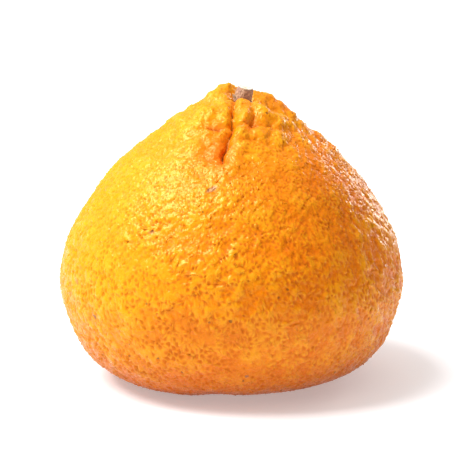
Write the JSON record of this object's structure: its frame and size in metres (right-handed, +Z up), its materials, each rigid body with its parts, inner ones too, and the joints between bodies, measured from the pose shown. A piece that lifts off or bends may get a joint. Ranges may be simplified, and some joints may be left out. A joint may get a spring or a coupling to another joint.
{
  "type": "tangelo",
  "caption": "Whole tangelo citrus fruit with a pebbled orange rind, a raised folded neck, a dried calyx and a cut stalk, resting on its blossom end.",
  "frame": {"origin": "centre of the footprint of the fruit's bounding box, at the height of the flat spot it rests on", "axes": "+Z up along the stalk axis, +X to the right across the widest part, +Y to the rear, so the deep neck crease faces -Y"},
  "size_m": [0.0898, 0.0872, 0.0773],
  "materials": {
    "rind": "pebbled citrus rind with oil glands, waxy satin sheen",
    "calyx": "dry, papery and matte, grey-green to tan",
    "stalk": "rough brown bark with a pale freshly cut end"
  },
  "bodies": {
    "root": {"fruit": "rind", "calyx": "calyx", "stalk": "stalk"}
  },
  "joints": []
}
